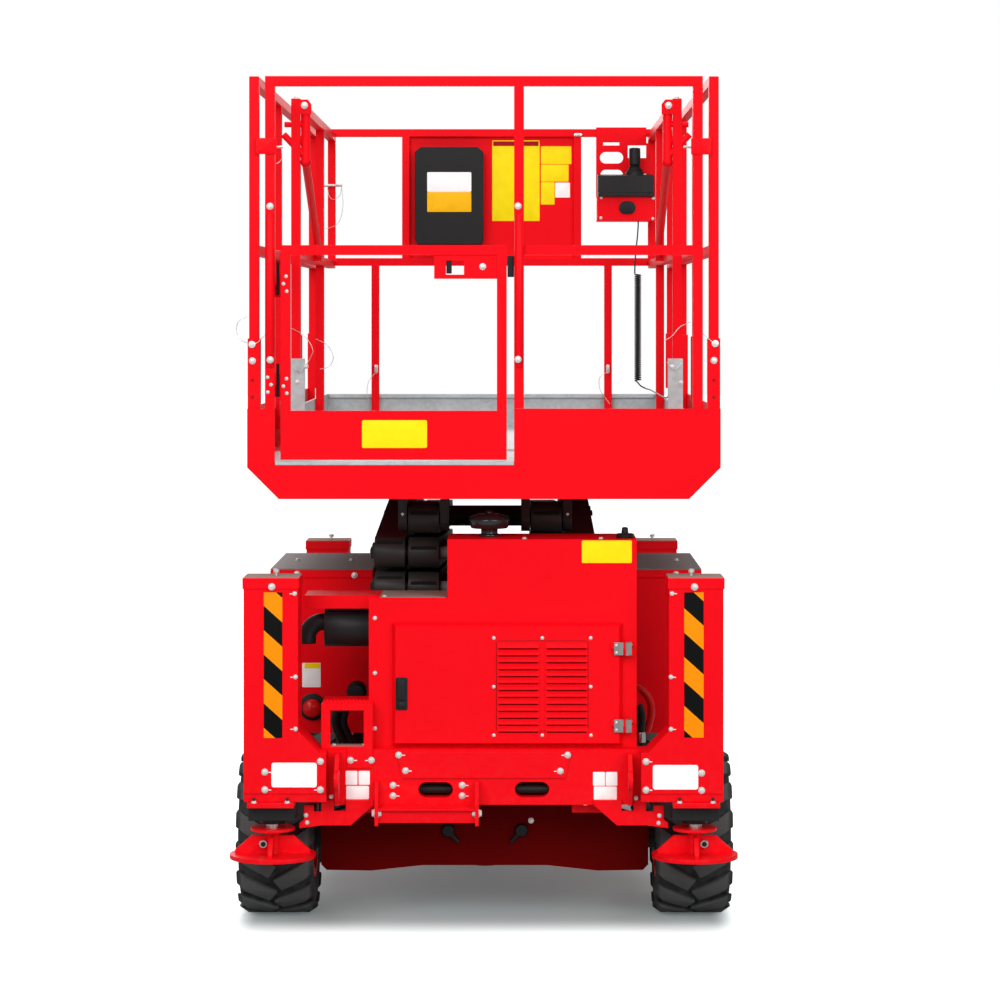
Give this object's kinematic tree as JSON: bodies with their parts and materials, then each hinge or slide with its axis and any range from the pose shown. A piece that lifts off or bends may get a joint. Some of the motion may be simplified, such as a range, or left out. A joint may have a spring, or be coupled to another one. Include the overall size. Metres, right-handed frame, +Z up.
{
  "type": "scissor lift",
  "caption": "Compact rough terrain scissor lift with steered wheels, levelling jacks, an entry gate and a roll-out platform with guard rails.",
  "frame": {"origin": "on the ground under the middle of the machine", "axes": "+X to the right seen from behind, +Y to the front, +Z up"},
  "size_m": [1.444, 2.884, 2.453],
  "materials": {
    "red_paint": "gloss red powder coat",
    "charcoal_paint": "satin charcoal paint",
    "black_metal": "matt black paint",
    "grey_paint": "grey textured paint",
    "galvanised": "galvanised sheet",
    "steel": "ground steel",
    "tyre": "black rubber",
    "black_plastic": "black moulded plastic"
  },
  "bodies": {
    "chassis": {"chassis_frame": "red_paint", "rear_axle": "charcoal_paint", "front_axle": "charcoal_paint", "engine_block": "charcoal_paint", "engine_cover": "red_paint", "air_precleaner": "black_plastic", "muffler": "black_metal", "side_box_left": "red_paint", "side_box_right": "red_paint", "entry_step": "red_paint", "ladder_bracket": "red_paint", "jack_housings_rear": "red_paint", "jack_housings_front": "red_paint", "jack_glands_rear": "black_metal", "jack_glands_front": "black_metal", "side_box_lids": "grey_paint", "beam_plates": "red_paint", "scissor_base": "charcoal_paint", "steering_cylinder": "black_metal"},
    "engine_door": {"engine_door": "red_paint"},
    "knuckle_left": {"knuckle_left": "charcoal_paint"},
    "knuckle_right": {"knuckle_right": "charcoal_paint"},
    "steering_rod": {"steering_rod": "steel"},
    "lift_barrel": {"lift_barrel": "black_metal"},
    "lift_rod": {"lift_rod": "steel"},
    "platform": {"platform_deck": "red_paint", "platform_base": "charcoal_paint", "platform_rails": "red_paint", "rear_rail": "red_paint"},
    "gate": {"gate": "red_paint"},
    "extension": {"extension_deck": "galvanised", "extension_rails": "red_paint", "front_rail": "red_paint", "manual_box": "black_plastic", "control_bracket": "red_paint", "control_box": "black_plastic", "cable_coil": "black_plastic", "cable_lead_top": "black_plastic", "cable_lead_low": "black_plastic"},
    "jack_rear_left": {"jack_rear_left": "red_paint"},
    "wheel_rear_left": {"tyre_rear_left": "tyre", "rim_rear_left": "red_paint"},
    "jack_rear_right": {"jack_rear_right": "red_paint"},
    "wheel_rear_right": {"tyre_rear_right": "tyre", "rim_rear_right": "red_paint"},
    "jack_front_left": {"jack_front_left": "red_paint"},
    "wheel_front_left": {"tyre_front_left": "tyre", "rim_front_left": "red_paint"},
    "jack_front_right": {"jack_front_right": "red_paint"},
    "wheel_front_right": {"tyre_front_right": "tyre", "rim_front_right": "red_paint"},
    "arm_outer_1": {"arm_outer_1": "charcoal_paint"},
    "arm_inner_1": {"arm_inner_1": "charcoal_paint"},
    "arm_outer_2": {"arm_outer_2": "charcoal_paint"},
    "arm_inner_2": {"arm_inner_2": "charcoal_paint"},
    "arm_outer_3": {"arm_outer_3": "charcoal_paint"},
    "arm_inner_3": {"arm_inner_3": "charcoal_paint"},
    "arm_outer_4": {"arm_outer_4": "charcoal_paint"},
    "arm_inner_4": {"arm_inner_4": "charcoal_paint"}
  },
  "joints": [
    {"name": "scissor_lift", "type": "hinge", "parent": "chassis", "child": "arm_outer_1", "pos_m": [0, -0.96, 0.755], "axis": [1, 0, 0], "range_deg": [0, 50]},
    {"name": "inner_1_fold", "type": "hinge", "parent": "arm_outer_1", "child": "arm_inner_1", "pos_m": [0, -0.0114, 0.8065], "axis": [1, 0, 0], "range_deg": [-100, 0]},
    {"name": "outer_2_fold", "type": "hinge", "parent": "arm_inner_1", "child": "arm_outer_2", "pos_m": [0, -0.96, 0.858], "axis": [1, 0, 0], "range_deg": [0, 100]},
    {"name": "inner_2_fold", "type": "hinge", "parent": "arm_outer_2", "child": "arm_inner_2", "pos_m": [0, -0.0114, 0.9095], "axis": [1, 0, 0], "range_deg": [-100, 0]},
    {"name": "outer_3_fold", "type": "hinge", "parent": "arm_inner_2", "child": "arm_outer_3", "pos_m": [0, -0.96, 0.961], "axis": [1, 0, 0], "range_deg": [0, 100]},
    {"name": "inner_3_fold", "type": "hinge", "parent": "arm_outer_3", "child": "arm_inner_3", "pos_m": [0, -0.0114, 1.0125], "axis": [1, 0, 0], "range_deg": [-100, 0]},
    {"name": "outer_4_fold", "type": "hinge", "parent": "arm_inner_3", "child": "arm_outer_4", "pos_m": [0, -0.96, 1.064], "axis": [1, 0, 0], "range_deg": [0, 100]},
    {"name": "inner_4_fold", "type": "hinge", "parent": "arm_outer_4", "child": "arm_inner_4", "pos_m": [0, -0.0114, 1.1155], "axis": [1, 0, 0], "range_deg": [-100, 0]},
    {"name": "platform_level", "type": "hinge", "parent": "arm_inner_4", "child": "platform", "pos_m": [0, -0.96, 1.167], "axis": [1, 0, 0], "range_deg": [0, 50]},
    {"name": "lift_barrel_tilt", "type": "hinge", "parent": "chassis", "child": "lift_barrel", "pos_m": [0, 1.19, 0.635], "axis": [-1, 0, 0], "range_deg": [0, 16.56]},
    {"name": "lift_rod_slide", "type": "slide", "parent": "lift_barrel", "child": "lift_rod", "axis": [0, -0.9883, 0.1527], "range_m": [0, 0.6241]},
    {"name": "steer_left", "type": "hinge", "parent": "chassis", "child": "knuckle_left", "pos_m": [-0.455, 0.82, 0.24], "axis": [0, 0, 1], "range_deg": [-30, 30]},
    {"name": "steer_right", "type": "hinge", "parent": "chassis", "child": "knuckle_right", "pos_m": [0.455, 0.82, 0.24], "axis": [0, 0, 1], "range_deg": [-30.1, 30.1]},
    {"name": "steering_rod_slide", "type": "slide", "parent": "chassis", "child": "steering_rod", "axis": [1, 0, 0], "range_m": [-0.058, 0.058]},
    {"name": "wheel_rear_left_spin", "type": "hinge", "parent": "chassis", "child": "wheel_rear_left", "pos_m": [-0.6075, -0.94, 0.24], "axis": [1, 0, 0], "continuous": true},
    {"name": "wheel_front_left_spin", "type": "hinge", "parent": "knuckle_left", "child": "wheel_front_left", "pos_m": [-0.6075, 0.82, 0.24], "axis": [1, 0, 0], "continuous": true},
    {"name": "wheel_rear_right_spin", "type": "hinge", "parent": "chassis", "child": "wheel_rear_right", "pos_m": [0.6075, -0.94, 0.24], "axis": [1, 0, 0], "continuous": true},
    {"name": "wheel_front_right_spin", "type": "hinge", "parent": "knuckle_right", "child": "wheel_front_right", "pos_m": [0.6075, 0.82, 0.24], "axis": [1, 0, 0], "continuous": true},
    {"name": "jack_rear_left_slide", "type": "slide", "parent": "chassis", "child": "jack_rear_left", "axis": [0, 0, -1], "range_m": [0, 0.3]},
    {"name": "jack_rear_right_slide", "type": "slide", "parent": "chassis", "child": "jack_rear_right", "axis": [0, 0, -1], "range_m": [0, 0.3]},
    {"name": "jack_front_left_slide", "type": "slide", "parent": "chassis", "child": "jack_front_left", "axis": [0, 0, -1], "range_m": [0, 0.3]},
    {"name": "jack_front_right_slide", "type": "slide", "parent": "chassis", "child": "jack_front_right", "axis": [0, 0, -1], "range_m": [0, 0.3]},
    {"name": "gate_swing", "type": "hinge", "parent": "platform", "child": "gate", "pos_m": [-0.588, -1.268, 1.65], "axis": [0, 0, 1], "range_deg": [0, 80]},
    {"name": "extension_slide", "type": "slide", "parent": "platform", "child": "extension", "axis": [0, 1, 0], "range_m": [0, 0.9]},
    {"name": "engine_door_swing", "type": "hinge", "parent": "chassis", "child": "engine_door", "pos_m": [0.41, -1.2913, 0.7], "axis": [0, 0, 1], "range_deg": [0, 110]}
  ],
  "couplings": [
    {"joint": "inner_1_fold", "follows": "scissor_lift", "ratio": -2},
    {"joint": "outer_2_fold", "follows": "scissor_lift", "ratio": 2},
    {"joint": "inner_2_fold", "follows": "scissor_lift", "ratio": -2},
    {"joint": "outer_3_fold", "follows": "scissor_lift", "ratio": 2},
    {"joint": "inner_3_fold", "follows": "scissor_lift", "ratio": -2},
    {"joint": "outer_4_fold", "follows": "scissor_lift", "ratio": 2},
    {"joint": "inner_4_fold", "follows": "scissor_lift", "ratio": -2},
    {"joint": "platform_level", "follows": "scissor_lift", "ratio": 1},
    {"joint": "lift_barrel_tilt", "follows": "scissor_lift", "ratio": 0.32927},
    {"joint": "lift_rod_slide", "follows": "scissor_lift", "m_per_rad": 0.71399},
    {"joint": "steer_right", "follows": "steer_left", "ratio": 1},
    {"joint": "steering_rod_slide", "follows": "steer_left", "m_per_rad": 0.11}
  ]
}
